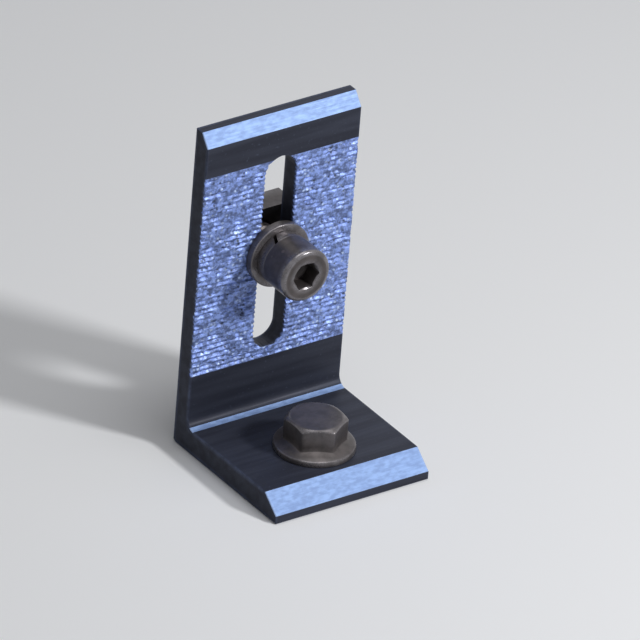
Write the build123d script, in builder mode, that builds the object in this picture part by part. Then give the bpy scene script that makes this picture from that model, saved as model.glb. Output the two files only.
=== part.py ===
import math
import os

from build123d import *

os.makedirs("parts", exist_ok=True)

# All sizes are in millimetres.
# Origin: centre of the roof screw's hole, on the underside of the base. +Z is up.
# X runs along the width of the extrusion. The rail stands behind the plate, at +Y, and the foot points to -Y.

# L foot: one aluminium extrusion, cut to width
foot_width = 42.0
foot_height = 82.0
base_depth = 41.5
plate_thickness = 5.0
base_thickness = 6.0
top_chamfer_depth = 2.6
top_chamfer_height = 3.3
toe_chamfer_depth = 5.0
toe_chamfer_height = 4.0
inside_fillet = 2.5
heel_radius = 0.6

# serrated panel on the front of the plate, which keeps the rail bolt's washer from slipping
lower_band = 13.2
upper_band = 8.0
serration_pitch = 1.25
serration_depth = 0.45
serration_land = 0.25

# vertical slot for the rail bolt
slot_length = 50.0
slot_centre_height = 46.5
bolt_clearance = 0.25

# hole for the roof screw
hole_to_back = 25.5
screw_clearance = 1.0

# rail bolt: M8 socket head cap screw
bolt_diameter = 8.0
bolt_length = 20.0
bolt_head_diameter = 13.0
bolt_head_height = 8.0
bolt_head_chamfer = 0.7
bolt_socket = 6.0
bolt_socket_depth = 4.2
bolt_tip_chamfer = 1.0

# flat washer on the serrations, and split spring washer under the bolt's head
washer_diameter = 16.0
washer_thickness = 2.0
washer_clearance = 0.2
washer_edge = 0.25
spring_diameter = 12.7
spring_thickness = 2.5
spring_clearance = 0.1
spring_gap = 0.9
spring_gap_angle = 115.0
spring_gap_slant = 25.0

# sliding nut in the rail's channel, clamped behind the rail's lips
lip_thickness = 2.5
nut_length = 22.0
nut_height = 14.0
nut_thickness = 6.5
nut_chamfer = 1.2
thread_clearance = 0.1

# roof screw: flanged hexagon head, plain shank, coarse timber thread and gimlet point
screw_diameter = 8.0
screw_length = 70.0
screw_plain_length = 24.0
screw_point_length = 9.0
screw_tip_diameter = 0.6
screw_core_diameter = 5.6
screw_thread_pitch = 3.6
screw_thread_root = 1.9
screw_thread_crest = 0.3
screw_thread_runout = 1.2
hex_size = 13.0
screw_head_height = 8.0
hex_chamfer_angle = 30.0
hex_top_margin = 0.3
flange_diameter = 19.0
flange_rim = 1.3
flange_slope_angle = 22.0

back_y = hole_to_back
front_y = back_y - plate_thickness
toe_y = back_y - base_depth
slot_width = bolt_diameter + 2 * bolt_clearance
panel_bottom = base_thickness + lower_band
panel_height = foot_height - top_chamfer_height - upper_band - panel_bottom
serration_count = int(panel_height // serration_pitch)
serration_start = panel_bottom + (panel_height - serration_count * serration_pitch) / 2


def serration_points():
    # trapezoid teeth up the front of the plate, with their lands flush with its face
    points = []
    flank = (serration_pitch - serration_land) / 2
    for tooth in range(serration_count):
        bottom = serration_start + tooth * serration_pitch
        points.append((front_y, bottom))
        points.append((front_y + serration_depth, bottom + flank))
        points.append((front_y, bottom + 2 * flank))
    points.append((front_y, serration_start + serration_count * serration_pitch))
    return points


# the L profile lies in the YZ plane, whose first axis is Y and second is Z
profile = [
    (back_y, 0),
    (toe_y, 0),
    (toe_y, base_thickness - toe_chamfer_height),
    (toe_y + toe_chamfer_depth, base_thickness),
    (front_y, base_thickness),
    *serration_points(),
    (front_y, foot_height - top_chamfer_height),
    (front_y + top_chamfer_depth, foot_height),
    (back_y, foot_height),
]

with BuildPart() as l_foot:
    with BuildSketch(Plane.YZ.offset(-foot_width / 2)) as l_profile:
        with BuildLine():
            Polyline(*profile, close=True)
        make_face()
        corners = l_profile.vertices()
        fillet(corners.sort_by_distance((front_y, base_thickness))[0], inside_fillet)
        fillet(l_profile.vertices().sort_by_distance((back_y, 0))[0], heel_radius)
    extrude(amount=foot_width)
    with BuildSketch(Plane.XZ.offset(-back_y)):
        with Locations((0, slot_centre_height)):
            SlotOverall(slot_length, slot_width, rotation=90)
    extrude(amount=plate_thickness, mode=Mode.SUBTRACT)
    with BuildSketch(Plane.XY):
        Circle(screw_diameter / 2 + screw_clearance)
    extrude(amount=base_thickness, mode=Mode.SUBTRACT)

# the stack on the rail bolt, counted outwards from the lands of the serrations
spring_back_y = front_y - washer_thickness
head_back_y = spring_back_y - spring_thickness
head_front_y = head_back_y - bolt_head_height
bolt_tip_y = head_back_y + bolt_length
bolt_axis = Axis((0, 0, slot_centre_height), (0, 1, 0))
bolt_radius = bolt_diameter / 2

with BuildPart() as flat_washer:
    with BuildSketch(Plane.XZ.offset(-front_y)):
        with Locations((0, slot_centre_height)):
            Circle(washer_diameter / 2)
            Circle(bolt_radius + washer_clearance, mode=Mode.SUBTRACT)
    extrude(amount=washer_thickness)
    outer_rim = flat_washer.edges().filter_by(GeomType.CIRCLE).sort_by(Edge.length)[-2:]
    chamfer(outer_rim, washer_edge)

# one turn of square wire, closed flat by the bolt, with its ends cut aslant
gap_direction = (
    math.cos(math.radians(spring_gap_angle)),
    0,
    math.sin(math.radians(spring_gap_angle)),
)
gap_lean = spring_thickness * math.tan(math.radians(spring_gap_slant)) / 2
spring_gap_outline = [
    (0, -spring_gap / 2 - gap_lean),
    (spring_thickness, -spring_gap / 2 + gap_lean),
    (spring_thickness, spring_gap / 2 + gap_lean),
    (0, spring_gap / 2 - gap_lean),
]

with BuildPart() as spring_washer:
    with BuildSketch(Plane.XZ.offset(-spring_back_y)):
        with Locations((0, slot_centre_height)):
            Circle(spring_diameter / 2)
            Circle(bolt_radius + spring_clearance, mode=Mode.SUBTRACT)
    extrude(amount=spring_thickness)
    gap_origin = (0, spring_back_y, slot_centre_height)
    with BuildSketch(Plane(origin=gap_origin, x_dir=(0, -1, 0), z_dir=gap_direction)):
        with BuildLine():
            Polyline(*spring_gap_outline, close=True)
        make_face()
    extrude(amount=spring_diameter, mode=Mode.SUBTRACT)

bolt_head_radius = bolt_head_diameter / 2
bolt_outline = [
    (head_front_y, 0),
    (head_front_y, bolt_head_radius - bolt_head_chamfer),
    (head_front_y + bolt_head_chamfer, bolt_head_radius),
    (head_back_y, bolt_head_radius),
    (head_back_y, bolt_radius),
    (bolt_tip_y - bolt_tip_chamfer, bolt_radius),
    (bolt_tip_y, bolt_radius - bolt_tip_chamfer),
    (bolt_tip_y, 0),
]

with BuildPart() as rail_bolt:
    with BuildSketch(Plane.YZ):
        with BuildLine():
            Polyline(*[(y, slot_centre_height + radius) for y, radius in bolt_outline], close=True)
        make_face()
    revolve(axis=bolt_axis)
    with BuildSketch(Plane.XZ.offset(-head_front_y)):
        with Locations((0, slot_centre_height)):
            RegularPolygon(bolt_socket / 2, 6, major_radius=False)
    extrude(amount=-bolt_socket_depth, mode=Mode.SUBTRACT)

nut_back_y = back_y + lip_thickness + nut_thickness

with BuildPart() as rail_nut:
    with BuildSketch(Plane.XZ.offset(-nut_back_y)) as nut_outline:
        with Locations((0, slot_centre_height)):
            Rectangle(nut_length, nut_height)
        chamfer(nut_outline.vertices(), nut_chamfer)
        with Locations((0, slot_centre_height)):
            Circle(bolt_radius + thread_clearance, mode=Mode.SUBTRACT)
    extrude(amount=nut_thickness)

# the roof screw's head: a hexagon with its corners taken off by a cone, standing on a sloped flange
screw_radius = screw_diameter / 2
flange_radius = flange_diameter / 2
head_top_z = base_thickness + screw_head_height
hex_flat_radius = hex_size / 2
hex_corner_radius = hex_flat_radius / math.cos(math.pi / 6)
hex_corner_drop = (hex_corner_radius - hex_flat_radius + hex_top_margin) * math.tan(
    math.radians(hex_chamfer_angle)
)
flange_rise = (flange_radius - hex_flat_radius) * math.tan(math.radians(flange_slope_angle))
head_cone_outline = [
    (0, base_thickness),
    (hex_corner_radius, base_thickness),
    (hex_corner_radius, head_top_z - hex_corner_drop),
    (hex_flat_radius - hex_top_margin, head_top_z),
    (0, head_top_z),
]
head_flange_outline = [
    (0, base_thickness + flange_rim + flange_rise),
    (hex_flat_radius, base_thickness + flange_rim + flange_rise),
    (flange_radius, base_thickness + flange_rim),
    (flange_radius, base_thickness),
    (0, base_thickness),
]

# the shank narrows to the thread's core, and the core to the tip
core_radius = screw_core_diameter / 2
tip_radius = screw_tip_diameter / 2
screw_tip_z = base_thickness - screw_length
point_z = screw_tip_z + screw_point_length
runout_z = base_thickness - screw_plain_length
core_outline = [
    (0, base_thickness),
    (screw_radius, base_thickness),
    (screw_radius, runout_z),
    (core_radius, runout_z - screw_thread_runout),
    (core_radius, point_z),
    (tip_radius, screw_tip_z),
    (0, screw_tip_z),
]

# the thread starts half way down the point, rooted below the surface of its cone there, and its crest
# is first swept wider than the shank, then trimmed to the shank and the point
thread_start_z = (point_z + screw_tip_z) / 2
thread_end_z = runout_z - screw_thread_root
root_share = (thread_start_z - screw_thread_root - screw_tip_z) / screw_point_length
root_radius = tip_radius + (core_radius - tip_radius) * root_share
crest_radius = screw_radius + screw_thread_crest / 2
flank_lean = (screw_thread_root - screw_thread_crest) / 2 / (screw_radius - core_radius)
root_half = screw_thread_root / 2
crest_half = root_half - flank_lean * (crest_radius - core_radius)
thread_outline = [
    (root_radius, thread_start_z - root_half),
    (core_radius, thread_start_z - root_half),
    (crest_radius, thread_start_z - crest_half),
    (crest_radius, thread_start_z + crest_half),
    (core_radius, thread_start_z + root_half),
    (root_radius, thread_start_z + root_half),
]
envelope_outline = [
    (0, runout_z),
    (screw_radius, runout_z),
    (screw_radius, point_z),
    (tip_radius, screw_tip_z),
    (0, screw_tip_z),
]

with BuildPart() as timber_thread:
    with BuildSketch(Plane.XZ):
        with BuildLine():
            Polyline(*thread_outline, close=True)
        make_face()
    sweep(
        path=Helix(
            pitch=screw_thread_pitch,
            height=thread_end_z - thread_start_z,
            radius=core_radius,
            center=(0, 0, thread_start_z),
        ),
        is_frenet=True,
    )
    with BuildSketch(Plane.XZ):
        with BuildLine():
            Polyline(*envelope_outline, close=True)
        make_face()
    revolve(axis=Axis.Z, mode=Mode.INTERSECT)

with BuildPart() as roof_screw:
    with BuildSketch(Plane.XZ):
        with BuildLine():
            Polyline(*core_outline, close=True)
        make_face()
    revolve(axis=Axis.Z)
    add(timber_thread.part)
    with BuildPart(mode=Mode.PRIVATE) as hex_head:
        with BuildSketch(Plane.XY.offset(base_thickness)):
            RegularPolygon(hex_flat_radius, 6, major_radius=False, rotation=30)
        extrude(amount=screw_head_height)
        with BuildSketch(Plane.XZ):
            with BuildLine():
                Polyline(*head_cone_outline, close=True)
            make_face()
        revolve(axis=Axis.Z, mode=Mode.INTERSECT)
    add(hex_head.part)
    with BuildSketch(Plane.XZ):
        with BuildLine():
            Polyline(*head_flange_outline, close=True)
        make_face()
    revolve(axis=Axis.Z)

l_foot.part.label = "l_foot"
export_step(l_foot.part, "parts/l_foot.step")
flat_washer.part.label = "flat_washer"
export_step(flat_washer.part, "parts/flat_washer.step")
spring_washer.part.label = "spring_washer"
export_step(spring_washer.part, "parts/spring_washer.step")
rail_bolt.part.label = "rail_bolt"
export_step(rail_bolt.part, "parts/rail_bolt.step")
rail_nut.part.label = "rail_nut"
export_step(rail_nut.part, "parts/rail_nut.step")
roof_screw.part.label = "roof_screw"
export_step(roof_screw.part, "parts/roof_screw.step")
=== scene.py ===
import math

import bpy
import numpy as np
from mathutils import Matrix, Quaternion, Vector


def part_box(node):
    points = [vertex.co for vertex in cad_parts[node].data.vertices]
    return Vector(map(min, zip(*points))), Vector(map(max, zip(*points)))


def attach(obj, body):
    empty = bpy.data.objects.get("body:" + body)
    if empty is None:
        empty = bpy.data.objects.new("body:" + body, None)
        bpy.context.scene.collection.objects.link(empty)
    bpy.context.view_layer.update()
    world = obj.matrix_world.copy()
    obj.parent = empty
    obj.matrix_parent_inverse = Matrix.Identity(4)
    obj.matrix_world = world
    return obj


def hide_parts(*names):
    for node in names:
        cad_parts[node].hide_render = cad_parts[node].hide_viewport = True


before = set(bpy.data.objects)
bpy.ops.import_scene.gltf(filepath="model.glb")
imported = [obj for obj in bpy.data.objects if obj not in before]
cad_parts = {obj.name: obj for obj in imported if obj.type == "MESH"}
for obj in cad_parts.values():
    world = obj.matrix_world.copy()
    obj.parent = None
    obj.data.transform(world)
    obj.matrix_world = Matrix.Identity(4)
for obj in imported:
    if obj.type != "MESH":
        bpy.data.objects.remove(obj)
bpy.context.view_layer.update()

mm = 0.001  # the pieces are worked out in millimetres and made in metres
print("frame loaded:", sorted(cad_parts))


def dropAtEdge(distance, radius):
    # how far a face has sunk at this distance from an edge rounded to a quarter circle:
    # radius minus the height of the circle there, and nothing past the rounding
    inside = np.clip(radius - distance, 0, radius)
    return radius - np.sqrt(np.maximum(radius ** 2 - inside ** 2, 0))


def roundedLine(corners, radii, steps=4):
    # a line through the corners with each one replaced by an arc of its radius:
    # the arc starts at radius over tan(half the corner's angle) from the corner, on both sides
    corners = np.asarray(corners, float)
    pieces = [corners[:1]]
    for before, corner, after, radius in zip(corners, corners[1:], corners[2:], radii):
        back = (before - corner) / np.linalg.norm(before - corner)
        ahead = (after - corner) / np.linalg.norm(after - corner)
        half = math.acos(np.clip(back @ ahead, -1, 1)) / 2
        middle = (back + ahead) / np.linalg.norm(back + ahead)
        centre = corner + middle * radius / math.sin(half)
        first = corner + back * radius / math.tan(half) - centre
        last = corner + ahead * radius / math.tan(half) - centre
        share = np.linspace(0, 1, steps + 1)[:, None]
        swing = math.pi - 2 * half
        arc = (np.sin((1 - share) * swing) * first + np.sin(share * swing) * last) / math.sin(swing)
        pieces.append(centre + arc)
    pieces.append(corners[-1:])
    return np.vstack(pieces)


def fillLine(line, longest):
    # the same line with points added so that no stretch is longer than this
    out = [line[:1]]
    for start, end in zip(line, line[1:]):
        count = max(1, int(math.ceil(np.linalg.norm(end - start) / longest)))
        out.append(start + (end - start) * np.linspace(0, 1, count + 1)[1:, None])
    return np.vstack(out)


def gridFaces(rows, columns, offset, wrapRows=False, wrapColumns=False, flip=False):
    # one quad between each pair of neighbouring rows and columns, with the points numbered row by row:
    # a wrapped grid also joins its last row or column to its first
    r = np.arange(rows if wrapRows else rows - 1)
    c = np.arange(columns if wrapColumns else columns - 1)
    r, c = np.meshgrid(r, c, indexing="ij")
    nextRow, nextColumn = (r + 1) % rows, (c + 1) % columns
    corners = [(r, c), (r, nextColumn), (nextRow, nextColumn), (nextRow, c)]
    quads = np.stack([row * columns + column for row, column in corners], -1).reshape(-1, 4) + offset
    return quads[:, ::-1] if flip else quads


sewnWithin = 1e-6  # metres: points closer than this are one


def buildPiece(name, grids, crease, body="root"):
    # each grid is (points, wrapRows, wrapColumns, flip, finish, edge mask), where the finish is a material's
    # number, for the whole grid or for each row, and the edge mask stands for edge wear and a painted edge
    # highlight: points that meet are sewn together, and a quad that loses a corner by that becomes a triangle
    points, faces, finish, wearAndHighlight, offset = [], [], [], [], 0
    for grid, wrapRows, wrapColumns, flip, material, wearAndHighlightMask in grids:
        rows, columns = grid.shape[:2]
        quads = gridFaces(rows, columns, offset, wrapRows, wrapColumns, flip)
        points.append(grid.reshape(-1, 3))
        faces.append(quads)
        wearAndHighlight.append(np.broadcast_to(wearAndHighlightMask, (rows, columns)).reshape(-1))
        perRow = np.broadcast_to(material, rows)[: rows if wrapRows else rows - 1]
        finish.append(np.repeat(perRow, len(quads) // len(perRow)))
        offset += rows * columns
    points, faces = np.vstack(points), np.vstack(faces)
    finish, wearAndHighlight = np.concatenate(finish), np.concatenate(wearAndHighlight)
    keys = np.round(points / sewnWithin).astype(np.int64)
    _, first, inverse = np.unique(keys, axis=0, return_index=True, return_inverse=True)
    inverse = inverse.reshape(-1)
    wearAndHighlightMask = np.zeros(len(first))
    np.maximum.at(wearAndHighlightMask, inverse, wearAndHighlight)
    faces = inverse[faces]
    same = faces == np.roll(faces, -1, axis=1)
    folded = (faces[:, 0] == faces[:, 2]) | (faces[:, 1] == faces[:, 3])
    whole = (same.sum(1) == 0) & ~folded
    short = same.sum(1) == 1
    left = np.array([[1, 2, 3], [0, 2, 3], [0, 1, 3], [0, 1, 2]])  # corners left when a side has no length
    triangles = faces[short][np.arange(short.sum())[:, None], left[same[short].argmax(1)]]
    mesh = bpy.data.meshes.new(name)
    mesh.from_pydata(points[first].tolist(), [], faces[whole].tolist() + triangles.tolist())
    numbers = np.concatenate([finish[whole], finish[short]]).astype(np.int32)
    mesh.polygons.foreach_set("material_index", numbers)
    mesh.attributes.new("wearAndHighlight", "FLOAT", "POINT").data.foreach_set("value", wearAndHighlightMask.astype(np.float32))
    mesh.shade_smooth()
    mesh.set_sharp_from_angle(angle=math.radians(crease))
    mesh.update()
    piece = bpy.data.objects.new(name, mesh)
    bpy.context.collection.objects.link(piece)
    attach(piece, body)
    print(name, len(mesh.polygons), "faces")
    return piece


def smoothNoise(shape, spread, seed):
    # random numbers on a grid, blurred with a bell curve of this spread in cells by Fourier transform,
    # and scaled back to a deviation of one
    field = np.random.default_rng(seed).standard_normal(shape)
    down, along = np.fft.fftfreq(shape[0])[:, None], np.fft.fftfreq(shape[1])[None, :]
    bell = np.exp(-2 * (math.pi ** 2) * ((down * spread[0]) ** 2 + (along * spread[1]) ** 2))
    field = np.fft.ifft2(np.fft.fft2(field) * bell).real
    return field / field.std()


def stackRings(rows, angles):
    # a table of (radius, height, edge mask) rows as arrays, where the edge mask stands for edge wear and
    # a painted edge highlight, and a radius or a height is one number for its ring or one for each angle
    radii = np.array([np.broadcast_to(radius, angles.shape) for radius, height, wearAndHighlight in rows], float)
    heights = np.array([np.broadcast_to(height, angles.shape) for radius, height, wearAndHighlight in rows], float)
    return radii, heights, np.array([wearAndHighlight for radius, height, wearAndHighlight in rows], float)


def ringsAbout(radii, heights, angles, centre, axis):
    # rings of points round a line along Y or Z: each point lies at its radius and angle, and as far
    # along the line as its height, and one number for a ring holds for all its angles
    shape = (len(heights), len(angles))
    radii = np.broadcast_to(radii.reshape(len(radii), -1), shape)
    heights = np.broadcast_to(heights.reshape(len(heights), -1), shape)
    across, up = radii * np.cos(angles), radii * np.sin(angles)
    order = [across, heights, up] if axis == "y" else [across, up, heights]
    return (np.stack(order, -1) + centre) * mm


def hexagonRadius(angles, flat, turn=0.0):
    # reach of a hexagon at these angles: the distance of its flats over the cosine of the angle
    # from the middle of the nearest flat
    aside = (angles - math.radians(turn)) % (math.pi / 3) - math.pi / 6
    return flat / np.cos(aside)


def hexagonAngles(perSide, turn=0.0):
    # angles with a point on every corner, drawn towards the corners by a sine of their share of the side
    share = np.linspace(0, 1, perSide, endpoint=False)
    share = share - 0.12 * np.sin(2 * math.pi * share)
    return (np.arange(6)[:, None] + share).reshape(-1) * math.pi / 3 + math.radians(turn)


def newGroup(name, inputs, outputs):
    # a shader group whose inputs are (name, value) numbers and whose outputs are numbers by name
    group = bpy.data.node_groups.new(name, "ShaderNodeTree")
    for label, value in inputs:
        socket = group.interface.new_socket(name=label, in_out="INPUT", socket_type="NodeSocketFloat")
        socket.default_value = value
    for label in outputs:
        group.interface.new_socket(name=label, in_out="OUTPUT", socket_type="NodeSocketFloat")
    return group, group.nodes.new("NodeGroupInput"), group.nodes.new("NodeGroupOutput")


def addNode(tree, kind, values, **links):
    # one node: each value goes to the setting or the input of its name, each link to the input of its name
    node = tree.nodes.new(kind)
    for key, value in values.items():
        if hasattr(node, key):
            setattr(node, key, value)
        else:
            node.inputs[key].default_value = value
    for key, source in links.items():
        tree.links.new(source, node.inputs[key])
    return node


def onObject(tree, cells):
    # object coordinates, scaled to this many cells a metre along X, Y and Z
    place = tree.nodes.new("ShaderNodeTexCoord")
    return addNode(tree, "ShaderNodeMapping", {"Scale": cells}, Vector=place.outputs["Object"]).outputs[0]


def cloud(tree, cells, layers, share=0.5):
    # noise from 0 to 1: layers of detail, each twice as fine as the last and this share as strong
    values = {"Scale": 1.0, "Detail": layers, "Roughness": share}
    return addNode(tree, "ShaderNodeTexNoise", values, Vector=onObject(tree, cells)).outputs[0]


def scatter(tree, cells):
    # scattered cells: the distance to the middle of the cell, and the cell's own three random numbers
    spots = addNode(tree, "ShaderNodeTexVoronoi", {"Scale": 1.0}, Vector=onObject(tree, cells))
    pick = addNode(tree, "ShaderNodeSeparateColor", {}, Color=spots.outputs["Color"])
    return spots.outputs["Distance"], pick.outputs


def remap(tree, value, low, high, toLow=0.0, toHigh=1.0):
    # the value's share of the way from low to high, eased at both ends, as a number from toLow to toHigh
    node = tree.nodes.new("ShaderNodeMapRange")
    node.interpolation_type = "SMOOTHSTEP"
    for number, limit in enumerate((low, high, toLow, toHigh), 1):
        node.inputs[number].default_value = limit
    tree.links.new(value, node.inputs[0])
    return node.outputs[0]


def linkOrSet(tree, sockets, values):
    # each value goes to its socket: numbers and colours are set, and what another node puts out is linked
    for socket, value in zip(sockets, values):
        if isinstance(value, (int, float, tuple)):
            socket.default_value = value
        else:
            tree.links.new(value, socket)


def mathNode(tree, operation, first, second):
    # the operation done on the two values
    node = tree.nodes.new("ShaderNodeMath")
    node.operation = operation
    linkOrSet(tree, node.inputs, (first, second))
    return node.outputs[0]


def mixColor(tree, share, first, second):
    # the first colour where the share is 0, the second where it is 1, and in between a blend
    node = tree.nodes.new("ShaderNodeMix")
    node.data_type = "RGBA"
    linkOrSet(tree, (node.inputs[0], node.inputs[6], node.inputs[7]), (share, first, second))
    return node.outputs[2]


def drawnGrain():
    # lines left by the die: noise drawn out along X, as fine lines and as broad streaks
    group, inlet, outlet = newGroup("drawnGrain", [], ["Lines", "Streaks"])
    group.links.new(cloud(group, (90, 4200, 4200), 3.0, 0.6), outlet.inputs["Lines"])
    group.links.new(cloud(group, (35, 420, 420), 2.0), outlet.inputs["Streaks"])
    return group


def edgeWearAndHighlight():
    # a mask along the rounded edges for edge wear and a painted edge highlight: the mask kept on the
    # points, times the amount, where the breakup says how much of it the noise may take away
    group, inlet, outlet = newGroup("edgeWearAndHighlight", [("Amount", 1.0), ("Breakup", 0.5)], ["Mask"])
    wearAndHighlightMask = addNode(group, "ShaderNodeAttribute", {"attribute_name": "wearAndHighlight"})
    broken = remap(group, cloud(group, (420, 420, 420), 4.0, 0.65), 0.35, 0.62)
    kept = mathNode(group, "MULTIPLY", broken, inlet.outputs["Breakup"])
    solid = mathNode(group, "SUBTRACT", 1.0, inlet.outputs["Breakup"])
    edge = mathNode(group, "MULTIPLY", wearAndHighlightMask.outputs["Fac"], mathNode(group, "ADD", kept, solid))
    group.links.new(mathNode(group, "MULTIPLY", edge, inlet.outputs["Amount"]), outlet.inputs["Mask"])
    return group


def strewnSpecks():
    # small pale specks: this share of the cells shows a dot of this size at the middle, as strong
    # as another of the cell's random numbers
    group, inlet, outlet = newGroup("strewnSpecks", [("Size", 0.3), ("Share", 0.3)], ["Mask"])
    distance, pick = scatter(group, (520, 520, 520))
    dot = mathNode(group, "LESS_THAN", distance, inlet.outputs["Size"])
    chosen = mathNode(group, "LESS_THAN", pick[0], inlet.outputs["Share"])
    faint = mathNode(group, "MULTIPLY", dot, chosen)
    group.links.new(mathNode(group, "MULTIPLY", faint, pick[1]), outlet.inputs["Mask"])
    return group


grainGroup, wearAndHighlightGroup, speckGroup = drawnGrain(), edgeWearAndHighlight(), strewnSpecks()


def useGroup(tree, group, **values):
    # a shared group placed in this material with its own values
    node = tree.nodes.new("ShaderNodeGroup")
    node.node_tree = group
    for key, value in values.items():
        node.inputs[key].default_value = value
    return node.outputs


def newMaterial(name, look):
    # a plain material with this look's metallic and specular values
    material = bpy.data.materials.new(name)
    material.use_nodes = True
    shader = material.node_tree.nodes["Principled BSDF"]
    shader.inputs["Metallic"].default_value = look["metallic"]
    shader.inputs["Specular IOR Level"].default_value = look["specular"]
    return material, material.node_tree, shader


def linkLook(tree, shader, color, roughness, height, bump):
    # the surface's colour and roughness, and a bump this high where the height is 1
    tree.links.new(color, shader.inputs["Base Color"])
    tree.links.new(roughness, shader.inputs["Roughness"])
    node = addNode(tree, "ShaderNodeBump", {"Strength": 1.0, "Distance": bump}, Height=height)
    tree.links.new(node.outputs[0], shader.inputs["Normal"])


# in each look, cells are per metre along X, Y and Z, and a range is where a pattern starts and ends,
# with the numbers that these become where they aren't 0 and 1


def smoothAnodised():
    # dark anodised skin: a blue-black that shifts with the streaks and is flecked with fine pale dust,
    # a little paler along its edges, partly by edge wear and partly by a painted edge highlight
    look = {
        "dark": (0.028, 0.031, 0.046, 1), "light": (0.042, 0.047, 0.068, 1),
        # the edge colour is partly edge wear and partly a painted edge highlight
        "edge": (0.12, 0.15, 0.25, 1), "fleck": (0.085, 0.10, 0.155, 1), "fleckCells": (1500, 1500, 1500),
        "streaks": (0.3, 0.7), "flecks": (0.60, 0.80, 0.0, 0.6), "rough": (0.2, 0.8, 0.34, 0.50),
        "metallic": 0.12, "specular": 0.1, "wearAndHighlight": 0.6, "breakup": 0.6, "bump": 0.000012,
    }
    material, tree, shader = newMaterial("smoothAnodised", look)
    grain = useGroup(tree, grainGroup)
    base = mixColor(tree, remap(tree, grain["Streaks"], *look["streaks"]), look["dark"], look["light"])
    flecks = cloud(tree, look["fleckCells"], 3.0, 0.6)
    base = mixColor(tree, remap(tree, flecks, *look["flecks"]), base, look["fleck"])
    wearAndHighlight = useGroup(tree, wearAndHighlightGroup, Amount=look["wearAndHighlight"], Breakup=look["breakup"])
    base = mixColor(tree, wearAndHighlight[0], base, look["edge"])
    rough = remap(tree, grain["Lines"], *look["rough"])
    linkLook(tree, shader, base, rough, grain["Lines"], look["bump"])
    return material


def paintedReflectionChamfer():
    # a painted sky reflection on the bevels and a painted highlight in the inside corner: pale blue,
    # faintly mottled along their length and lined by the grain
    look = {
        # the pale blue colours are a painted sky reflection, and the edge colour a painted highlight along
        # the edges
        "low": (0.220, 0.325, 0.585, 1), "high": (0.300, 0.445, 0.760, 1),
        "line": (0.215, 0.32, 0.60, 1), "edge": (0.50, 0.64, 0.92, 1), "mottleCells": (500, 1100, 1100),
        "mottle": (0.32, 0.68), "lines": (0.52, 0.72, 0.0, 0.5), "rough": (0.2, 0.8, 0.46, 0.62),
        "metallic": 0.22, "specular": 0.25, "wearAndHighlight": 0.7, "breakup": 0.5, "bump": 0.00002,
    }
    material, tree, shader = newMaterial("paintedReflectionChamfer", look)
    grain = useGroup(tree, grainGroup)
    mottle = remap(tree, cloud(tree, look["mottleCells"], 3.0), *look["mottle"])
    base = mixColor(tree, mottle, look["low"], look["high"])
    base = mixColor(tree, remap(tree, grain["Lines"], *look["lines"]), base, look["line"])
    wearAndHighlight = useGroup(tree, wearAndHighlightGroup, Amount=look["wearAndHighlight"], Breakup=look["breakup"])
    base = mixColor(tree, wearAndHighlight[0], base, look["edge"])
    rough = remap(tree, grain["Lines"], *look["rough"])
    linkLook(tree, shader, base, rough, grain["Lines"], look["bump"])
    return material


def serratedPaintedReflection():
    # serrations under a painted sky reflection that glitters: soft blotches under a millimetre across,
    # with painted dark specks of shade and painted glints at the middle of the cells whose random numbers are
    # high
    look = {
        # the blue range is a painted sky reflection, the palest colour a painted glint and the darkest colour
        # painted dark specks of shade
        "paintedDarkSpeck": (0.030, 0.037, 0.065, 1), "low": (0.105, 0.145, 0.30, 1),
        "high": (0.29, 0.41, 0.86, 1), "paintedGlint": (0.56, 0.70, 1.0, 1),
        "blotchCells": (900, 900, 1000), "spotCells": (1050, 1050, 1200),
        "blotches": (0.36, 0.64), "paintedGlints": (0.72, 0.95), "paintedDarkSpecks": (0.74, 0.95), "spot": (0.55, 0.15),
        "metallic": 0.4, "specular": 0.35, "rough": (0.0, 1.0, 0.38, 0.60), "bump": 0.0002,
    }
    material, tree, shader = newMaterial("serratedPaintedReflection", look)
    blotch = cloud(tree, look["blotchCells"], 3.0, 0.65)
    distance, pick = scatter(tree, look["spotCells"])
    base = mixColor(tree, remap(tree, blotch, *look["blotches"]), look["low"], look["high"])
    near = remap(tree, distance, *look["spot"])
    paintedGlint = mathNode(tree, "MULTIPLY", remap(tree, pick[0], *look["paintedGlints"]), near)
    base = mixColor(tree, paintedGlint, base, look["paintedGlint"])
    darkSpeckMask = mathNode(tree, "MULTIPLY", remap(tree, pick[1], *look["paintedDarkSpecks"]), near)
    base = mixColor(tree, darkSpeckMask, base, look["paintedDarkSpeck"])
    rough = remap(tree, pick[2], *look["rough"])
    linkLook(tree, shader, base, rough, blotch, look["bump"])
    return material


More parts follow.
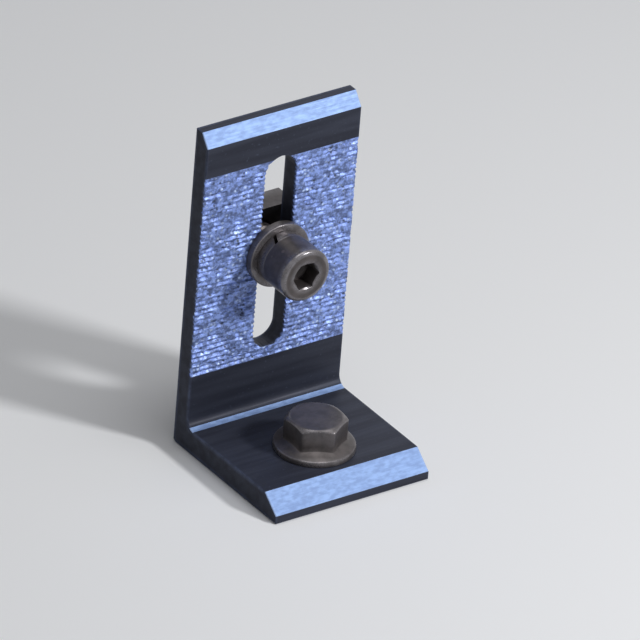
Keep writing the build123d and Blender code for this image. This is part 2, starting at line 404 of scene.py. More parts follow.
def darkSteel():
    # satin steel with a warm cast and a few pale specks, smoother along its edges and brighter there by edge
    # wear and a painted edge highlight
    look = {
        "low": (0.058, 0.051, 0.050, 1), "high": (0.098, 0.085, 0.084, 1),
        # the edge colour is partly edge wear and partly a painted highlight on the rims
        "edge": (0.38, 0.37, 0.40, 1), "speck": (0.19, 0.155, 0.14, 1), "speckSize": 0.2, "speckShare": 0.2,
        "mottleCells": (330, 330, 330), "grainCells": (2600, 2600, 2600),
        "mottle": (0.3, 0.7), "rough": (0.3, 0.7, 0.34, 0.42), "polish": -0.45,
        "metallic": 0.5, "specular": 0.4, "wearAndHighlight": 0.4, "breakup": 0.6, "bump": 0.000003,
    }
    material, tree, shader = newMaterial("darkSteel", look)
    mottle = remap(tree, cloud(tree, look["mottleCells"], 4.0, 0.6), *look["mottle"])
    base = mixColor(tree, mottle, look["low"], look["high"])
    specks = useGroup(tree, speckGroup, Size=look["speckSize"], Share=look["speckShare"])
    base = mixColor(tree, specks[0], base, look["speck"])
    wearAndHighlight = useGroup(tree, wearAndHighlightGroup, Amount=look["wearAndHighlight"], Breakup=look["breakup"])
    base = mixColor(tree, wearAndHighlight[0], base, look["edge"])
    fine = cloud(tree, look["grainCells"], 3.0)
    satin = remap(tree, fine, *look["rough"])
    rough = mathNode(tree, "ADD", satin, mathNode(tree, "MULTIPLY", wearAndHighlight[0], look["polish"]))
    linkLook(tree, shader, base, rough, fine, look["bump"])
    return material


anodised, paintedReflectionBevel, serrated = smoothAnodised(), paintedReflectionChamfer(), serratedPaintedReflection()
steel = darkSteel()
print("materials ready")


foot = {
    "plateThickness": 5.0, "baseThickness": 6.0, "insideFillet": 2.5, "heelRadius": 0.6,
    "topChamferDepth": 2.6, "topChamferHeight": 3.3, "toeChamferDepth": 5.0, "toeChamferHeight": 4.0,
    "upperBand": 8.0, "lowerBand": 13.2,
    "serrationPitch": 1.25, "serrationDepth": 0.45, "serrationLand": 0.25,
    "slotLength": 50.0, "slotWidth": 8.5, "slotHeight": 46.5, "holeRadius": 5.0,
    "edgeRadius": 0.22, "mouthRadius": 0.25,
    "reliefDepth": 0.09, "reliefSpread": (2.2, 1.0),  # spreads in cells down and along the panel
    "fillSpread": (3.0, 1.5), "fillMiddle": 0.55, "fillSwing": 0.45,
    "paintedHighlightFillet": (0.42, 0.96),  # shares of the fillet's depth between which it shows a painted highlight
    "edgeWearAndHighlight": 0.9, "wearAndHighlightReach": 0.3, "panelFade": 0.3, "seeds": (11, 23), "crease": 28,
    "longestSide": 1.0, "columns": 36, "wallSteps": 6,
    "slotEndRows": (0.0, 0.02, 0.1, 0.25, 0.5), "rimColumns": (0, 0.05, 0.12, 0.25, 0.5),
    "endColumns": (0.6, 0.22, 0.14, 0.07, 0.02, 0), "rimPoints": 33,
}


def panelHeights(topZ):
    # where the serrated panel starts above the base and ends below the bevel
    return foot["baseThickness"] + foot["lowerBand"], topZ - foot["topChamferHeight"] - foot["upperBand"]


def serrationLine(frontY, bottom, top, slotRows):
    # a trapezoid wave of whole teeth in the middle of the panel: each groove is given by its depth at
    # six shares of its flank's width, and the rows by the slot's ends are put in between
    pitch = foot["serrationPitch"]
    teeth = int((top - bottom) // pitch)
    start = bottom + (top - bottom - teeth * pitch) / 2
    flank = (pitch - foot["serrationLand"]) / 2
    shares = np.array([0.0, 0.45, 0.92, 1.08, 1.55, 2.0])
    depths = np.array([0.0, 0.45, 0.95, 0.95, 0.45, 0.0]) * foot["serrationDepth"]
    toothZ = (start + np.arange(teeth)[:, None] * pitch + shares * flank).reshape(-1)
    toothY = np.tile(frontY + depths, teeth)
    slotRows = slotRows[(slotRows < top - 0.05) & (slotRows > bottom)]
    rows = np.unique(np.round(np.concatenate([toothZ, slotRows]), 4))[::-1]
    return np.stack([np.interp(rows, toothZ, toothY), rows], 1)


def footInside(low, high):
    # (y, z) of the side seen from the front: over the top, down the bevel and the plate, round the
    # fillet, out along the base and down the toe, with closer rows by the slot's ends and the hole
    backY, topZ, toeY = high[1], high[2], low[1]
    frontY, baseZ = backY - foot["plateThickness"], foot["baseThickness"]
    edge, longest = foot["edgeRadius"], foot["longestSide"]
    bottom, top = panelHeights(topZ)
    upper = [(backY - edge, topZ), (frontY + foot["topChamferDepth"], topZ),
             (frontY, topZ - foot["topChamferHeight"]), (frontY, top + 0.3)]
    upper = fillLine(roundedLine(upper, [edge, edge]), longest)
    slotEnds = foot["slotHeight"] + np.array([-0.5, 0.5]) * foot["slotLength"]
    slotRows = slotEnds[:, None] + np.outer([1, -1], foot["slotEndRows"])
    slotRows = np.append(slotRows, slotEnds + [-0.15, 0.15])
    panel = serrationLine(frontY, bottom, top, slotRows)
    bandRows = np.append(slotRows[slotRows >= top - 0.05], top + 0.3)
    bandRows = np.sort(bandRows[bandRows < top + 1.0])[::-1]
    band = np.stack([np.full(len(bandRows), frontY), bandRows], 1)
    lower = [(frontY, bottom - 0.05), (frontY, baseZ), (toeY + foot["toeChamferDepth"], baseZ),
             (toeY, baseZ - foot["toeChamferHeight"]), (toeY, edge)]
    lower = fillLine(roundedLine(lower, [foot["insideFillet"], edge, edge], 8), longest)
    # the rows across the hole lie at even angles of its rim, so that the rim is round
    hole, clear = foot["holeRadius"], foot["holeRadius"] + 0.4
    rim = hole * np.cos(np.linspace(0, math.pi, foot["rimPoints"]))
    rim = np.append(rim, [hole + 0.12, hole + 0.26, -hole - 0.12, -hole - 0.26])
    rimRows = np.stack([np.sort(rim)[::-1], np.full(len(rim), baseZ)], 1)
    lower = lower[~(np.isclose(lower[:, 1], baseZ) & (np.abs(lower[:, 0]) < clear))]
    place = np.where((lower[:, 0] < clear) & (lower[:, 1] <= baseZ + 1e-6))[0][0]
    line = np.vstack([upper[upper[:, 1] > top + 1.0], band, panel, lower[:place], rimRows, lower[place:]])
    apart = np.linalg.norm(np.diff(line, axis=0), axis=1) > 2e-3
    return line[np.append(True, apart)]


def footOutside(inside, upright, lying, low, high):
    # (y, z) of the back and the underside: level with the points inside, but closer together where the
    # top and the toe round over, and spread along the heel where the fillet is
    backY, topZ, toeY = high[1], high[2], low[1]
    edge, inner = foot["edgeRadius"], foot["insideFillet"]
    y, z = inside.T
    rank = np.arange(len(inside))
    spread = np.minimum(0.01 * rank * (rank + 1), 1.5)
    backZ, underY = np.minimum(z, topZ - spread), np.maximum(y, toeY + spread[::-1])
    outside = np.stack([backY - dropAtEdge(topZ - backZ, edge), backZ], 1)
    outside[lying] = np.stack([underY, dropAtEdge(underY - toeY, edge)], 1)[lying]
    corner = np.where(~upright & ~lying)[0]
    heel = [(backY, foot["baseThickness"] + inner), (backY, 0), (backY - foot["plateThickness"] - inner, 0)]
    heel = roundedLine(heel, [foot["heelRadius"]], 6)
    along = np.append(0, np.cumsum(np.linalg.norm(np.diff(heel, axis=0), axis=1)))
    share = np.arange(1, len(corner) + 1) / (len(corner) + 1)
    wanted = along[-1] * np.interp(share, [0, 0.3, 0.7, 1], [0, 0.4, 0.62, 1])
    outside[corner, 0] = np.interp(wanted, along, heel[:, 0])
    outside[corner, 1] = np.interp(wanted, along, heel[:, 1])
    outside[0], outside[-1] = (backY - edge, topZ), (toeY, edge)
    return outside


def footFinish(inside, low, high):
    # the finish from each row to the next, by where its middle lies: 0 dark and smooth, 1 bevels and
    # the fillet band, painted with a sky reflection and a highlight, 2 serrated, painted with a reflection
    topZ, toeY, baseZ, inner = high[2], low[1], foot["baseThickness"], foot["insideFillet"]
    bottom, top = panelHeights(topZ)
    y, z = (inside[1:] + inside[:-1]).T / 2
    bevel = (z < topZ - 0.06) & (z > topZ - foot["topChamferHeight"] + 0.05)
    toe = (y < toeY + foot["toeChamferDepth"] - 0.05) & (z > baseZ - foot["toeChamferHeight"] + 0.05)
    reach = (high[1] - foot["plateThickness"] - y) / inner
    fillet = (reach > foot["paintedHighlightFillet"][0]) & (reach < foot["paintedHighlightFillet"][1]) & (z < baseZ + inner)
    finish = np.select([bevel | toe | fillet, (z < top) & (z > bottom)], [1, 2], 0)
    return np.append(finish, 0)


def outwardNormals(loop):
    # at each corner of a closed line, the mean of its two sides' normals, lengthened so that a shift
    # along it moves both sides by the same amount: sides of no length are passed over
    step = np.roll(loop, -1, 0) - loop
    length = np.linalg.norm(step, axis=1)
    side = np.stack([step[:, 1], -step[:, 0]], 1) / np.maximum(length, 1e-9)[:, None]
    real = np.where(length > 1e-3)[0]
    following = np.searchsorted(real, np.arange(len(loop)))
    ahead, before = side[real[following % len(real)]], side[real[following - 1]]
    return (ahead + before) / np.maximum(1 + (ahead * before).sum(1), 0.5)[:, None]


def makeFoot():
    # the closed section is carried along X in two halves: each row of a half runs from the slot, the
    # hole or the middle to the end, and each point sinks along its normal by the rounding there
    low, high = [np.array(v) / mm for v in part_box("l_foot")]
    half, frontY = high[0], high[1] - foot["plateThickness"]
    inside = footInside(low, high)
    rows = len(inside)
    y, z = inside.T
    upright = z >= foot["baseThickness"] + foot["insideFillet"] - 1e-6
    lying = y <= frontY - foot["insideFillet"] + 1e-6
    loop = np.vstack([inside, footOutside(inside, upright, lying, low, high)[::-1]])
    normals = outwardNormals(loop)
    finish = np.append(footFinish(inside, low, high), np.zeros(rows, int))
    # half width of the opening at each row: the slot's on the plate, the hole's on the base
    radius, reach = foot["slotWidth"] / 2, (foot["slotLength"] - foot["slotWidth"]) / 2
    pastStraight = np.maximum(np.abs(z - foot["slotHeight"]) - reach, 0)
    slotHalf = np.sqrt(np.maximum(radius ** 2 - pastStraight ** 2, 0)) * upright
    holeHalf = np.sqrt(np.maximum(foot["holeRadius"] ** 2 - y ** 2, 0)) * lying
    opening = slotHalf + holeHalf
    opening = np.append(opening, opening[::-1])
    # columns: close together by the opening and by the end, even between
    near, far = np.array(foot["rimColumns"]), half - np.array(foot["endColumns"])
    between = np.linspace(0, 1, foot["columns"] + 2)[1:-1]
    start = opening[:, None] + near[-1]
    x = np.hstack([opening[:, None] + near, start + (far[0] - start) * between,
                   np.broadcast_to(far, (2 * rows, len(far)))])
    # how far each point has sunk by the rounding of the ends and of the opening's rim
    rowY, rowZ = loop[:, :1], loop[:, 1:]
    onPlate, onBase = np.append(upright, upright[::-1])[:, None], np.append(lying, lying[::-1])[:, None]
    past = np.maximum(np.abs(rowZ - foot["slotHeight"]) - reach, 0)
    toSlot, toHole = np.hypot(x, past) - radius, np.hypot(x, rowY) - foot["holeRadius"]
    toRim = np.maximum(np.where(onPlate, toSlot, np.where(onBase, toHole, 9.0)), 0)
    sunk = dropAtEdge(half - x, foot["edgeRadius"]) + dropAtEdge(toRim, foot["mouthRadius"])
    # edge wear and painted edge highlight: along the ends and the rims, and on rows where the section turns,
    # apart from the serrations
    wearAndHighlightMask = np.clip(1 - np.minimum(half - x, toRim) / foot["wearAndHighlightReach"], 0, 1)
    turning = 1 - (normals * np.roll(normals, 1, 0)).sum(1) > 0.02
    plain = (finish != 2) & (np.roll(finish, 1) != 2)
    wearAndHighlightMask = np.maximum(wearAndHighlightMask, foot["edgeWearAndHighlight"] * (turning & plain)[:, None])
    # serrations: blasting has half filled the grooves here and there, and left the lands uneven
    bottom, top = panelHeights(high[2])
    inPanel = np.clip(np.minimum(top - rowZ, rowZ - bottom) / foot["panelFade"], 0, 1)
    inPanel = inPanel * (np.arange(2 * rows)[:, None] < rows) * onPlate
    groove = (rowY - frontY) * inPanel
    awayFromRim = np.clip(toRim / foot["mouthRadius"], 0, 1)
    halves = []
    for seed, side in zip(foot["seeds"], (1, -1)):
        filled = foot["fillMiddle"] + foot["fillSwing"] * smoothNoise(x.shape, foot["fillSpread"], seed)
        filled = groove * np.clip(filled, 0, 1) * awayFromRim
        relief = foot["reliefDepth"] * np.abs(smoothNoise(x.shape, foot["reliefSpread"], seed + 1))
        shift = sunk + relief * inPanel * awayFromRim
        grid = [side * x, rowY - filled - normals[:, :1] * shift, rowZ - normals[:, 1:] * shift]
        halves.append(np.stack(grid, -1) * mm)
    # where nothing is cut out, the two halves meet in the same points
    closed = opening == 0
    seam = (halves[0][closed, 0] + halves[1][closed, 0]) / 2
    halves[0][closed, 0] = halves[1][closed, 0] = seam
    # the ends and the walls of the slot and the hole join the inside to the outside in even steps
    share = np.linspace(0, 1, foot["wallSteps"] + 1)[:, None, None]
    cut = opening[:rows] > 0
    grids = []
    for grid, side in zip(halves, (1, -1)):
        grids.append((grid, True, False, side > 0, finish, wearAndHighlightMask))
        front, behind = grid[:rows], grid[rows:][::-1]
        ends = front[:, -1] + (behind[:, -1] - front[:, -1]) * share
        grids.append((ends, False, False, side < 0, 0, 0.0))
        walls = front[:, 0] + (behind[:, 0] - front[:, 0]) * share
        for part in (cut & upright, cut & lying):
            first, last = np.where(part)[0][[0, -1]]
            grids.append((walls[:, first - 1:last + 2], False, False, side > 0, 0, 0.0))
    piece = buildPiece("lFootBody", grids, foot["crease"])
    for material in (anodised, paintedReflectionBevel, serrated):
        piece.data.materials.append(material)
    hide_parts("l_foot")


makeFoot()


bolt = {
    "headRadius": 6.5, "headHeight": 8.0, "headRound": 0.9, "baseRound": 0.2,
    "socketFlat": 3.0, "socketDepth": 4.2, "socketLead": 0.35, "socketPoint": 1.2,
    "shank": 4.0, "tipRadius": 3.0, "plainNeck": 1.5, "tipChamfer": 1.0,
    "pitch": 1.25, "threadDepth": 0.68, "stepsPerTurn": 8, "crease": 34,
}


def threadRadius(angles, heights, crest, depth, pitch, flat=0.2):
    # a right-handed helical ridge: at each height and angle the share of a turn decides how far down
    # the flank it is
    turn = (heights[:, None] / pitch + angles[None, :] / (2 * math.pi)) % 1.0
    rise = np.clip((0.5 - np.abs(turn - 0.5)) * 2 * (1 + flat) - flat / 2, 0, 1)
    return crest - depth * (1 - rise)


def makeBolt():
    # rings round the bolt's own line, from the bottom of the socket out over the face, down the head
    # and along the thread: a thread's ring has the helix's radius at each angle, cut off by the tip's cone
    low, high = [np.array(v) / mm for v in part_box("rail_bolt")]
    centre, length = (0, low[1], (low[2] + high[2]) / 2), high[1] - low[1]
    angles = hexagonAngles(16)
    head, height, shank = bolt["headRadius"], bolt["headHeight"], bolt["shank"]
    flat, lead, floor = bolt["socketFlat"], bolt["socketLead"], bolt["socketDepth"]
    socket = hexagonRadius(angles, flat)
    mouth = np.maximum(socket + lead * 0.35, flat / math.cos(math.pi / 6) - 0.12)
    corner, base = bolt["headRound"], bolt["baseRound"]
    face = head - corner
    # the third number of each row is the mask for edge wear and a painted edge highlight on that ring
    rows = [
        (0.0, floor + bolt["socketPoint"], 0), (0.92 * flat, floor + 0.25, 0), (0.98 * flat, floor, 0),
        (socket, floor, 0), (socket, 1.6, 0), (socket, lead, 0.4), (mouth, 0.06, 1), (mouth + 0.1, 0.0, 0.8),
        (4.6, 0.0, 0), (face - 0.3, 0.0, 0),
    ]
    for turn in np.linspace(0, math.pi / 2, 7):
        rows.append((face + corner * math.sin(turn), corner * (1 - math.cos(turn)), 1.0))
    rows += [
        (head, 2.4, 0), (head, 4.8, 0), (head, height - 0.4, 0), (head, height - base, 0.5),
        (head - base, height, 0.5), (shank + 0.3, height, 0), (shank, height + 0.3, 0),
        (shank, height + bolt["plainNeck"], 0),
    ]
    radii, depths, wearAndHighlightMask = stackRings(rows, angles)
    step = bolt["pitch"] / bolt["stepsPerTurn"]
    along = np.arange(height + bolt["plainNeck"] + 0.15, length - 0.02, step)
    thread = threadRadius(angles, along, shank, bolt["threadDepth"], bolt["pitch"])
    runOut = np.clip((along - along[0]) / bolt["pitch"], 0, 1)[:, None]
    thread = shank - (shank - thread) * runOut
    chamfer = bolt["tipChamfer"]
    cone = shank - chamfer * np.clip((along - (length - chamfer)) / chamfer, 0, 1)
    thread = np.minimum(thread, cone[:, None])
    tip, tipDepths, tipWearAndHighlight = stackRings([(bolt["tipRadius"], length, 0), (0.0, length, 0)], angles)
    radii = np.vstack([radii, thread, tip])
    depths = np.vstack([depths, np.broadcast_to(along[:, None], thread.shape), tipDepths])
    wearAndHighlightMask = np.concatenate([wearAndHighlightMask, np.zeros(len(along)), tipWearAndHighlight])
    grid = ringsAbout(radii, depths, angles, centre, "y")
    piece = buildPiece("railBoltPiece", [(grid, False, True, True, 0, wearAndHighlightMask[:, None])], bolt["crease"])
    piece.data.materials.append(steel)
    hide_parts("rail_bolt")


washer = {"hole": 4.2, "round": 0.3, "burr": 0.12, "wearAndHighlight": 0.8, "angles": 96, "crease": 34}


def makeFlatWasher():
    # a stamped ring, its outline carried round a circle: rolled over at the rim of its outer face,
    # sharper on the side that meets the serrations
    low, high = [np.array(v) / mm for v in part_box("flat_washer")]
    middle = (0, low[1], (low[2] + high[2]) / 2)
    outer, thick, hole = (high[0] - low[0]) / 2, high[1] - low[1], washer["hole"]
    corner, burr = washer["round"], washer["burr"]
    corners = [(hole, thick / 2), (hole, 0), (outer, 0), (outer, thick), (hole, thick), (hole, thick / 2)]
    outline = roundedLine(corners, [0.12, corner, burr, 0.1], 5)[:-1]
    angles = np.linspace(0, 2 * math.pi, washer["angles"], endpoint=False)
    grid = ringsAbout(outline[:, 0], outline[:, 1], angles, middle, "y")
    # edge wear and a painted highlight on the rounded rim
    wearAndHighlightMask = washer["wearAndHighlight"] * ((np.abs(outline[:, 0] - outer) < corner) & (outline[:, 1] < corner + 0.02))
    piece = buildPiece("flatWasherPiece", [(grid, True, True, True, 0, wearAndHighlightMask[:, None])], washer["crease"])
    piece.data.materials.append(steel)
    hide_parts("flat_washer")


spring = {
    "hole": 4.1, "gap": 0.9, "gapAngle": 115.0, "slant": 25.0, "round": 0.25,
    "wearAndHighlight": 0.5, "endWearAndHighlight": 0.4, "steps": 120, "crease": 34,
}


def makeSpringWasher():
    # square wire carried round one turn: its two ends lean, so they start and stop at an angle
    # that shifts with the height in the wire
    low, high = [np.array(v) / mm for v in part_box("spring_washer")]
    middle = (0, low[1], (low[2] + high[2]) / 2)
    outer, thick, hole = (high[0] - low[0]) / 2, high[1] - low[1], spring["hole"]
    corners = [(hole, thick / 2), (hole, 0), (outer, 0), (outer, thick), (hole, thick), (hole, thick / 2)]
    outline = roundedLine(corners, [spring["round"]] * 4, 4)[:-1]
    radius, depth = outline.T
    lean = math.tan(math.radians(spring["slant"])) * (thick / 2 - depth)
    gapAt, halfGap = math.radians(spring["gapAngle"]), spring["gap"] / 2
    start, stop = gapAt + (lean + halfGap) / radius, gapAt + 2 * math.pi + (lean - halfGap) / radius
    angles = start + (stop - start) * np.linspace(0, 1, spring["steps"])[:, None]
    depth = np.broadcast_to(depth, angles.shape)
    wire = (np.stack([radius * np.cos(angles), depth, radius * np.sin(angles)], -1) + middle) * mm
    first, last = [np.stack([end, np.broadcast_to(end.mean(0), end.shape)]) for end in (wire[0], wire[-1])]
    # edge wear and a painted highlight on the outer rounding and on the wire's ends
    wearAndHighlightMask, endWearAndHighlight = spring["wearAndHighlight"] * (np.abs(radius - outer) < spring["round"]), spring["endWearAndHighlight"]
    grids = [(wire, False, True, False, 0, wearAndHighlightMask[None, :]),
             (first, False, True, True, 0, endWearAndHighlight), (last, False, True, False, 0, endWearAndHighlight)]
    piece = buildPiece("springWasherPiece", grids, spring["crease"])
    piece.data.materials.append(steel)
    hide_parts("spring_washer")


nut = {
    "cornerCut": 1.2, "cornerRadius": 0.2, "round": 0.25, "hole": 4.06, "lead": 0.5,
    "boreSteps": 45, "crease": 34,
}


def makeRailNut():
    # the outline and the bore share their angles, so the faces are rings between the two: the bore
    # follows the bolt's thread a little way off, and opens to a cone at both ends
    low, high = [np.array(v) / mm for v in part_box("rail_nut")]
    middle = (0, low[1], (low[2] + high[2]) / 2)
    halfLong, halfHigh, thick = (high[0] - low[0]) / 2, (high[2] - low[2]) / 2, high[1] - low[1]
    cut, corner = nut["cornerCut"], nut["round"]
    quarter = [(halfLong, 0), (halfLong, halfHigh - cut), (halfLong - cut, halfHigh), (0, halfHigh)]
    outline = fillLine(roundedLine(quarter, [nut["cornerRadius"]] * 2, 3), 0.8)
    mirror = outline[::-1] * (-1, 1)
    outline = np.vstack([outline, mirror[1:]])
    outline = np.vstack([outline, -outline[1:-1]])
    angles = np.arctan2(outline[:, 1], outline[:, 0])
    reach = np.hypot(outline[:, 0], outline[:, 1])
    # each rounded side: how far its rings are inset, their depth in the nut and their mask for edge wear and
    # a painted edge highlight
    front = np.array([(0, thick / 2, 0), (0, corner, 0.5), (corner * 0.3, corner * 0.3, 1), (corner, 0, 0.5)])
    back = np.array([(corner, thick, 0.5), (corner * 0.3, thick - corner * 0.3, 1), (0, thick - corner, 0.5)])
    depth = np.linspace(0, thick, nut["boreSteps"])
    alongBolt = depth + low[1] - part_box("rail_bolt")[0][1] / mm
    thread = threadRadius(angles, alongBolt, nut["hole"], bolt["threadDepth"], bolt["pitch"])
    cone = nut["hole"] + nut["lead"] - np.minimum(depth, thick - depth)
    bore = np.maximum(thread, cone[:, None])
    radii = np.vstack([reach - front[:, :1], bore, reach - back[:, :1]])
    depths = np.concatenate([front[:, 1], depth, back[:, 1]])
    wearAndHighlightMask = np.concatenate([front[:, 2], np.zeros(len(bore)), back[:, 2]])
    grid = ringsAbout(radii, depths, angles, middle, "y")
    piece = buildPiece("railNutPiece", [(grid, True, True, False, 0, wearAndHighlightMask[:, None])], nut["crease"])
    piece.data.materials.append(steel)
    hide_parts("rail_nut")


makeBolt()
makeFlatWasher()
makeSpringWasher()
makeRailNut()


screw = {
    "hexFlat": 6.5, "hexTurn": 30.0, "headHeight": 8.0, "chamferAngle": 30.0, "topMargin": 0.3,
    "flangeRadius": 9.5, "flangeRim": 1.3, "flangeSlope": 22.0, "cornerRound": 0.12, "cornerCut": 0.1,
    "shank": 4.0, "plainLength": 24.0, "runOut": 1.2, "pointLength": 9.0, "tipRadius": 0.3,
    "core": 2.8, "pitch": 3.6, "threadRoot": 1.9, "threadCrest": 0.3, "stepsPerTurn": 24,
    "crease": 30,
}


def screwThread(angles, along, shankEnd, tip):
    # radius at each height and angle, the greatest of three: the core, the ridge, which falls from its
    # crest to the core with the distance from the helix, and the run-out of the shank. All but the last
    # narrow to the tip over the length of the point
    shank, core, tipRadius, pitch = screw["shank"], screw["core"], screw["tipRadius"], screw["pitch"]
    crestHalf, rootHalf = screw["threadCrest"] / 2, screw["threadRoot"] / 2
    firstTurn, lastTurn = tip + screw["pointLength"] / 2, shankEnd - screw["threadRoot"]
    turns = (along[:, None] - firstTurn) / pitch - angles[None, :] / (2 * math.pi)
    aside = (turns - np.round(turns)) * pitch
    middle = along[:, None] - aside
    ridge = core + (shank - core) * np.clip((rootHalf - np.abs(aside)) / (rootHalf - crestHalf), 0, 1)
    taper = np.clip((along - tip) / screw["pointLength"], 0, 1)[:, None]
    ridge = np.minimum(ridge, tipRadius + (shank - tipRadius) * taper)
    onRidge = (np.abs(aside) < rootHalf) & (middle > firstTurn) & (middle < lastTurn)
    narrowed = tipRadius + (core - tipRadius) * taper
    runOut = shank + (core - shank) * np.clip((shankEnd - along) / screw["runOut"], 0, 1)[:, None]
    runOut = runOut * (along > shankEnd - screw["runOut"])[:, None]
    return np.maximum(np.maximum(np.where(onRidge, ridge, 0), narrowed), runOut)


def makeRoofScrew():
    # rings round Z from the middle of the head's top to the tip: the head's rings follow the hexagon's
    # reach with its corners softened, chamfered by a cone, and blend into the flange's cone
    low, high = [np.array(v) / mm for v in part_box("roof_screw")]
    top, tip = high[2], low[2]
    seat = top - screw["headHeight"]
    angles = hexagonAngles(16, screw["hexTurn"])
    side = hexagonRadius(angles, screw["hexFlat"], screw["hexTurn"])
    soften, cut = screw["cornerRound"], screw["hexFlat"] / math.cos(math.pi / 6) - screw["cornerCut"]
    side = -np.log(np.exp(-side / soften) + np.exp(-np.full(len(side), cut) / soften)) * soften
    flatEdge, chamfer = screw["hexFlat"] - screw["topMargin"], math.tan(math.radians(screw["chamferAngle"]))
    drop = (side - flatEdge) * chamfer
    slope = math.tan(math.radians(screw["flangeSlope"]))
    flange, rim, shank = screw["flangeRadius"], seat + screw["flangeRim"], screw["shank"]
    sideFoot = rim + (flange - side) * slope
    halfway = 0.5 * (side + flange)
    shankEnd = seat - screw["plainLength"]
    # the third number of each row is the mask for edge wear and a painted edge highlight on that ring
    rows = [
        (0, top, 0), (3.0, top, 0), (flatEdge - 0.5, top, 0), (flatEdge - 0.08, top, 0.5),
        (flatEdge + 0.1, top - 0.1 * chamfer - 0.02, 0.5), (side - 0.12, top - drop + 0.05, 0.6),
        (side - 0.02, top - drop - 0.10, 1.0), (side, top - drop - 0.35, 0.3),
        (side, sideFoot + 1.2, 0), (side, sideFoot + 0.30, 0), (side + 0.08, sideFoot + 0.08, 0),
        (side + 0.35, sideFoot - 0.35 * slope + 0.02, 0), (halfway, rim + (flange - halfway) * slope, 0),
        (flange - 0.45, rim + 0.45 * slope, 0.1), (flange - 0.1, rim + 0.02, 0.7), (flange, rim - 0.2, 0.5),
        (flange, seat + 0.15, 0.6), (flange - 0.15, seat, 0.3), (shank + 0.4, seat, 0),
        (shank, seat - 0.4, 0), (shank, shankEnd, 0),
    ]
    radii, heights, wearAndHighlightMask = stackRings(rows, angles)
    along = np.arange(shankEnd - 0.1, tip + 0.1, -screw["pitch"] / screw["stepsPerTurn"])
    thread = screwThread(angles, along, shankEnd, tip)
    end, endHeights, endWearAndHighlight = stackRings([(screw["tipRadius"], tip, 0), (0, tip, 0)], angles)
    radii = np.vstack([radii, thread, end])
    heights = np.vstack([heights, np.broadcast_to(along[:, None], thread.shape), endHeights])
    wearAndHighlightMask = np.concatenate([wearAndHighlightMask, np.zeros(len(along)), endWearAndHighlight])
    grid = ringsAbout(radii, heights, angles, (0, 0, 0), "z")
    piece = buildPiece("roofScrewPiece", [(grid, False, True, True, 0, wearAndHighlightMask[:, None])], screw["crease"])
    piece.data.materials.append(steel)
    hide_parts("roof_screw")


makeRoofScrew()


studio = {
    "floorTone": (0.91, 0.92, 0.94, 1), "floorRoughness": 0.7, "floorSize": 4.0, "floorHeight": -0.05 * mm,
    "backdrop": (0.86, 0.87, 0.90), "ambient": 0.09, "lampTarget": (0, 0, 0.035),
    "keyPower": 4.0, "keySize": 0.12, "keyFrom": (0.38, -0.56, 0.50),
    "topPower": 3.3, "topSize": 0.7, "topFrom": (0.10, -0.05, 0.95),
    "azimuth": -36.87, "elevation": 30.53, "roll": 4.64,
    "lens": 823.0, "distance": 3.3, "aimAt": (0.001, 0.003, 0.0375),
}


def makeFloor():
    # an even grid of quads, a hair below the foot
    steps = np.linspace(-studio["floorSize"], studio["floorSize"], 9)
    x, y = np.meshgrid(steps, steps, indexing="ij")
    points = np.stack([x, y, np.full_like(x, studio["floorHeight"])], -1).reshape(-1, 3)
    mesh = bpy.data.meshes.new("studioFloor")
    mesh.from_pydata(points.tolist(), [], gridFaces(9, 9, 0, flip=True).tolist())
    floor = bpy.data.objects.new("studioFloor", mesh)
    bpy.context.collection.objects.link(floor)
    material, tree, shader = newMaterial("paleFloor", {"metallic": 0.0, "specular": 0.2})
    shader.inputs["Base Color"].default_value = studio["floorTone"]
    shader.inputs["Roughness"].default_value = studio["floorRoughness"]
    mesh.materials.append(material)


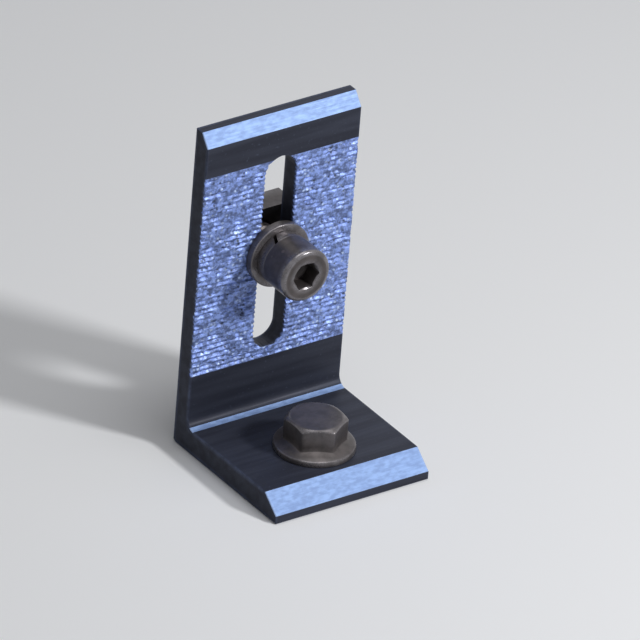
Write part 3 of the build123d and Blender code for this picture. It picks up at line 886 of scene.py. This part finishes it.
def standFacing(thing, place, direction, roll=0.0):
    # stand a lamp or a camera here, looking along the direction and rolled about it by this many degrees
    holder = bpy.data.objects.new(thing.name, thing)
    holder.location = place
    holder.rotation_mode = "QUATERNION"
    look = direction.to_track_quat("-Z", "Y")
    holder.rotation_quaternion = look @ Quaternion((0, 0, 1), math.radians(roll))
    bpy.context.collection.objects.link(holder)
    return holder


def addLamp(name, power, size, place):
    # a round lamp of this power in watts and size in metres that faces the part
    lamp = bpy.data.lights.new(name, "AREA")
    lamp.energy, lamp.size, lamp.shape = power, size, "DISK"
    standFacing(lamp, place, Vector(studio["lampTarget"]) - Vector(place))


def makeStudio():
    # a small key lamp, a broad lamp above, and a pale backdrop whose own light is dimmed to the ambient share
    makeFloor()
    addLamp("keyLamp", studio["keyPower"], studio["keySize"], studio["keyFrom"])
    addLamp("topLamp", studio["topPower"], studio["topSize"], studio["topFrom"])
    world = bpy.data.worlds.new("studioWorld")
    bpy.context.scene.world = world
    world.use_nodes = True
    tree = world.node_tree
    tree.nodes.clear()
    path = tree.nodes.new("ShaderNodeLightPath")
    seen = mathNode(tree, "MAXIMUM", path.outputs["Is Camera Ray"], path.outputs["Is Glossy Ray"])
    seen = mathNode(tree, "MAXIMUM", seen, path.outputs["Is Transmission Ray"])
    dim = tuple(part * studio["ambient"] for part in studio["backdrop"])
    color = mixColor(tree, seen, dim + (1,), studio["backdrop"] + (1,))
    background = addNode(tree, "ShaderNodeBackground", {"Strength": 1.0}, Color=color)
    output = tree.nodes.new("ShaderNodeOutputWorld")
    tree.links.new(background.outputs[0], output.inputs[0])


def makeCamera():
    # a long lens far off: the camera stands back from its aim by the distance, at the azimuth and elevation
    camera = bpy.data.cameras.new("studioCamera")
    camera.lens, camera.sensor_width = studio["lens"], 36.0
    camera.clip_end = 50.0
    turn, lift = math.radians(studio["azimuth"]), math.radians(studio["elevation"])
    back = Vector((math.sin(turn) * math.cos(lift), -math.cos(turn) * math.cos(lift), math.sin(lift)))
    place = Vector(studio["aimAt"]) + back * studio["distance"]
    bpy.context.scene.camera = standFacing(camera, place, -back, studio["roll"])


makeStudio()
makeCamera()
bpy.context.scene.view_settings.view_transform = "Standard"
print("studio ready")
